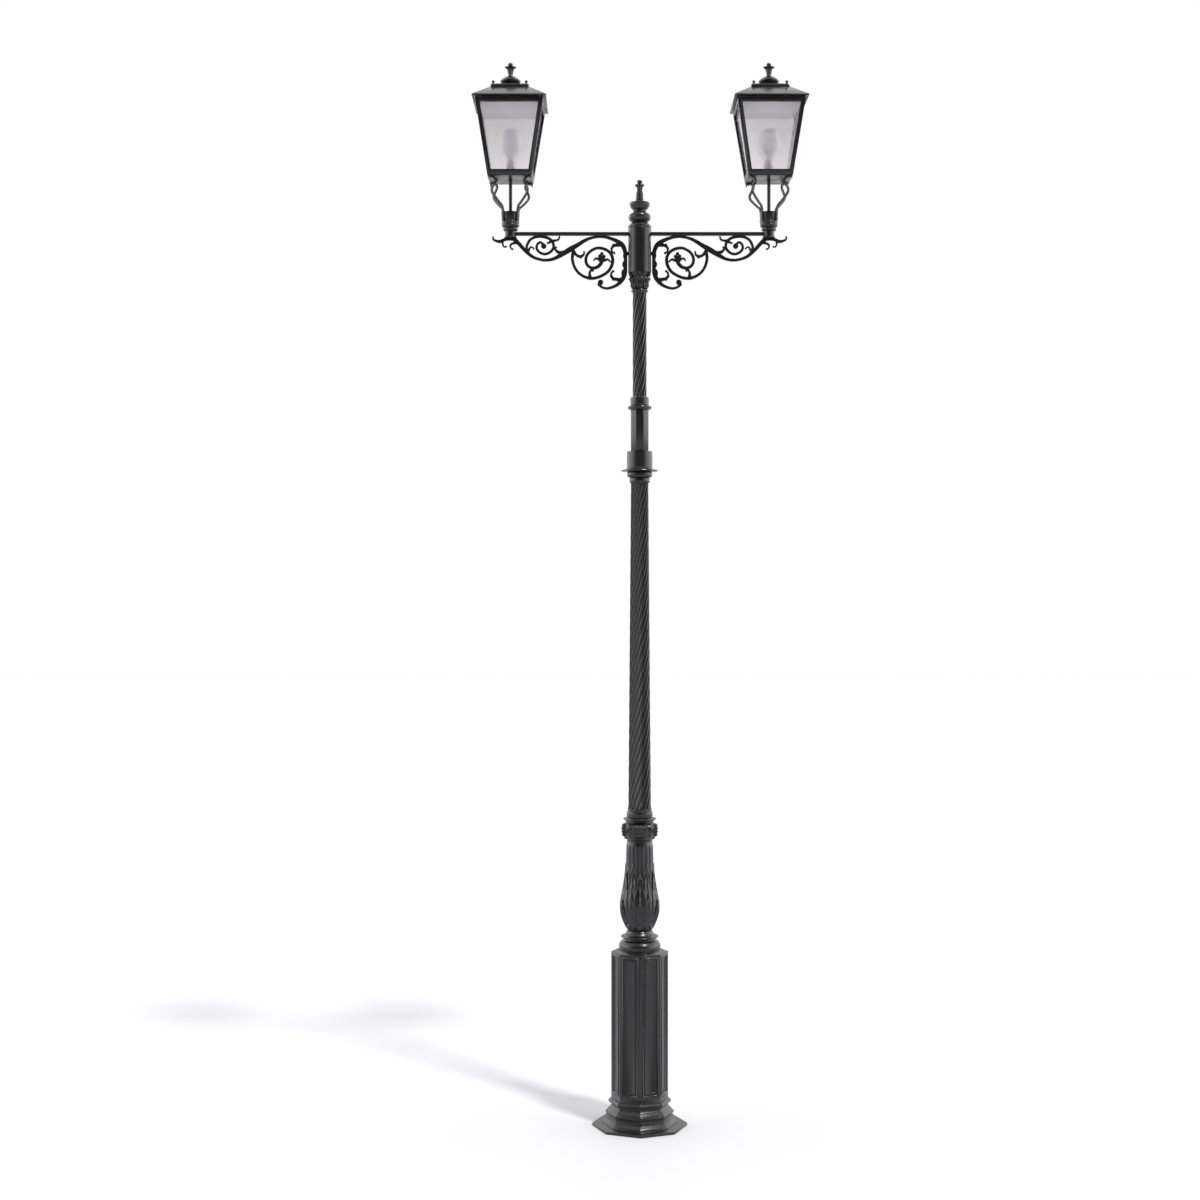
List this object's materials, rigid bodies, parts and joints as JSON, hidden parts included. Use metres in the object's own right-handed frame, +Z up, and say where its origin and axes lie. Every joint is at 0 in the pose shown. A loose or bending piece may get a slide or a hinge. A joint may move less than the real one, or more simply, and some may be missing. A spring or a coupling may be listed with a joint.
{
  "type": "street lamp post",
  "caption": "Ornate street lamp post: octagonal pedestal, baluster vase, spirally fluted shafts and scrolled arms with square glazed lanterns.",
  "frame": {"origin": "centre of the octagonal foot, on the ground", "axes": "+Z up the post, X along the arms, -Y towards the front"},
  "size_m": [1.796, 0.517, 5.758],
  "materials": {
    "black_paint": "semi-gloss black stoving paint over a fine cast surface, a little worn along the edges",
    "galvanised_steel": "hot-dip galvanised steel with a soft mottled zinc spangle",
    "bright_fastener": "plain stainless fastener steel with fine turning marks",
    "grey_moulding": "fine-textured grey moulded plastic",
    "white_moulding": "smooth off-white moulded plastic",
    "lantern_glass": "clear seeded lantern glass with a faint rose-grey tint",
    "lamp_envelope": "satin opal lamp envelope",
    "white_ceramic": "glazed off-white ceramic",
    "reflector_enamel": "pale grey enamel with a fine orange peel"
  },
  "bodies": {
    "post": {"base_plate": "galvanised_steel", "plinth": "black_paint", "pedestal": "black_paint", "pedestal_cap": "black_paint", "vase": "black_paint", "leaf_collar": "black_paint", "lower_collar": "black_paint", "lower_shaft": "black_paint", "joint_collar": "black_paint", "octagonal_shaft": "black_paint", "upper_collar": "black_paint", "upper_shaft": "black_paint", "capital": "black_paint", "head_sleeve": "black_paint", "crown": "black_paint", "crown_finial": "black_paint", "mast_tube": "galvanised_steel", "set_screws": "bright_fastener", "hinge_pins": "bright_fastener", "equipment_rail": "galvanised_steel", "fuse_box": "grey_moulding", "fuse_cover": "white_moulding", "cable_glands": "grey_moulding", "earth_stud": "bright_fastener", "corner_pendants": "black_paint", "conduits": "black_paint", "left_arm_bar": "black_paint", "left_main_scroll": "black_paint", "left_large_scroll": "black_paint", "left_small_scroll": "black_paint", "left_socket": "black_paint", "left_legs": "black_paint", "left_frame": "black_paint", "left_tray": "black_paint", "left_glass": "lantern_glass", "left_lamp_holder": "white_ceramic", "left_lamp": "lamp_envelope", "right_arm_bar": "black_paint", "right_main_scroll": "black_paint", "right_large_scroll": "black_paint", "right_small_scroll": "black_paint", "right_socket": "black_paint", "right_legs": "black_paint", "right_frame": "black_paint", "right_tray": "black_paint", "right_glass": "lantern_glass", "right_lamp_holder": "white_ceramic", "right_lamp": "lamp_envelope"},
    "door": {"access_door": "black_paint"},
    "lock": {"door_lock": "bright_fastener"},
    "left_lid": {"left_roof": "black_paint", "left_reflector": "reflector_enamel", "left_crest": "black_paint", "left_ventilator": "black_paint", "left_finial": "black_paint"},
    "right_lid": {"right_roof": "black_paint", "right_reflector": "reflector_enamel", "right_crest": "black_paint", "right_ventilator": "black_paint", "right_finial": "black_paint"}
  },
  "joints": [
    {"name": "door_hinge", "type": "hinge", "parent": "post", "child": "door", "pos_m": [-0.02001, 0.1403, 0.493], "axis": [0, 0, -1], "range_deg": [0, 110]},
    {"name": "lock_turn", "type": "hinge", "parent": "door", "child": "lock", "pos_m": [-0.07025, 0.11733, 0.493], "axis": [0.3827, -0.9239, 0], "range_deg": [0, 90]},
    {"name": "left_lid_hinge", "type": "hinge", "parent": "post", "child": "left_lid", "pos_m": [-0.7, 0.19, 5.524], "axis": [-1, 0, 0], "range_deg": [0, 95]},
    {"name": "right_lid_hinge", "type": "hinge", "parent": "post", "child": "right_lid", "pos_m": [0.7, 0.19, 5.524], "axis": [-1, 0, 0], "range_deg": [0, 95]}
  ]
}
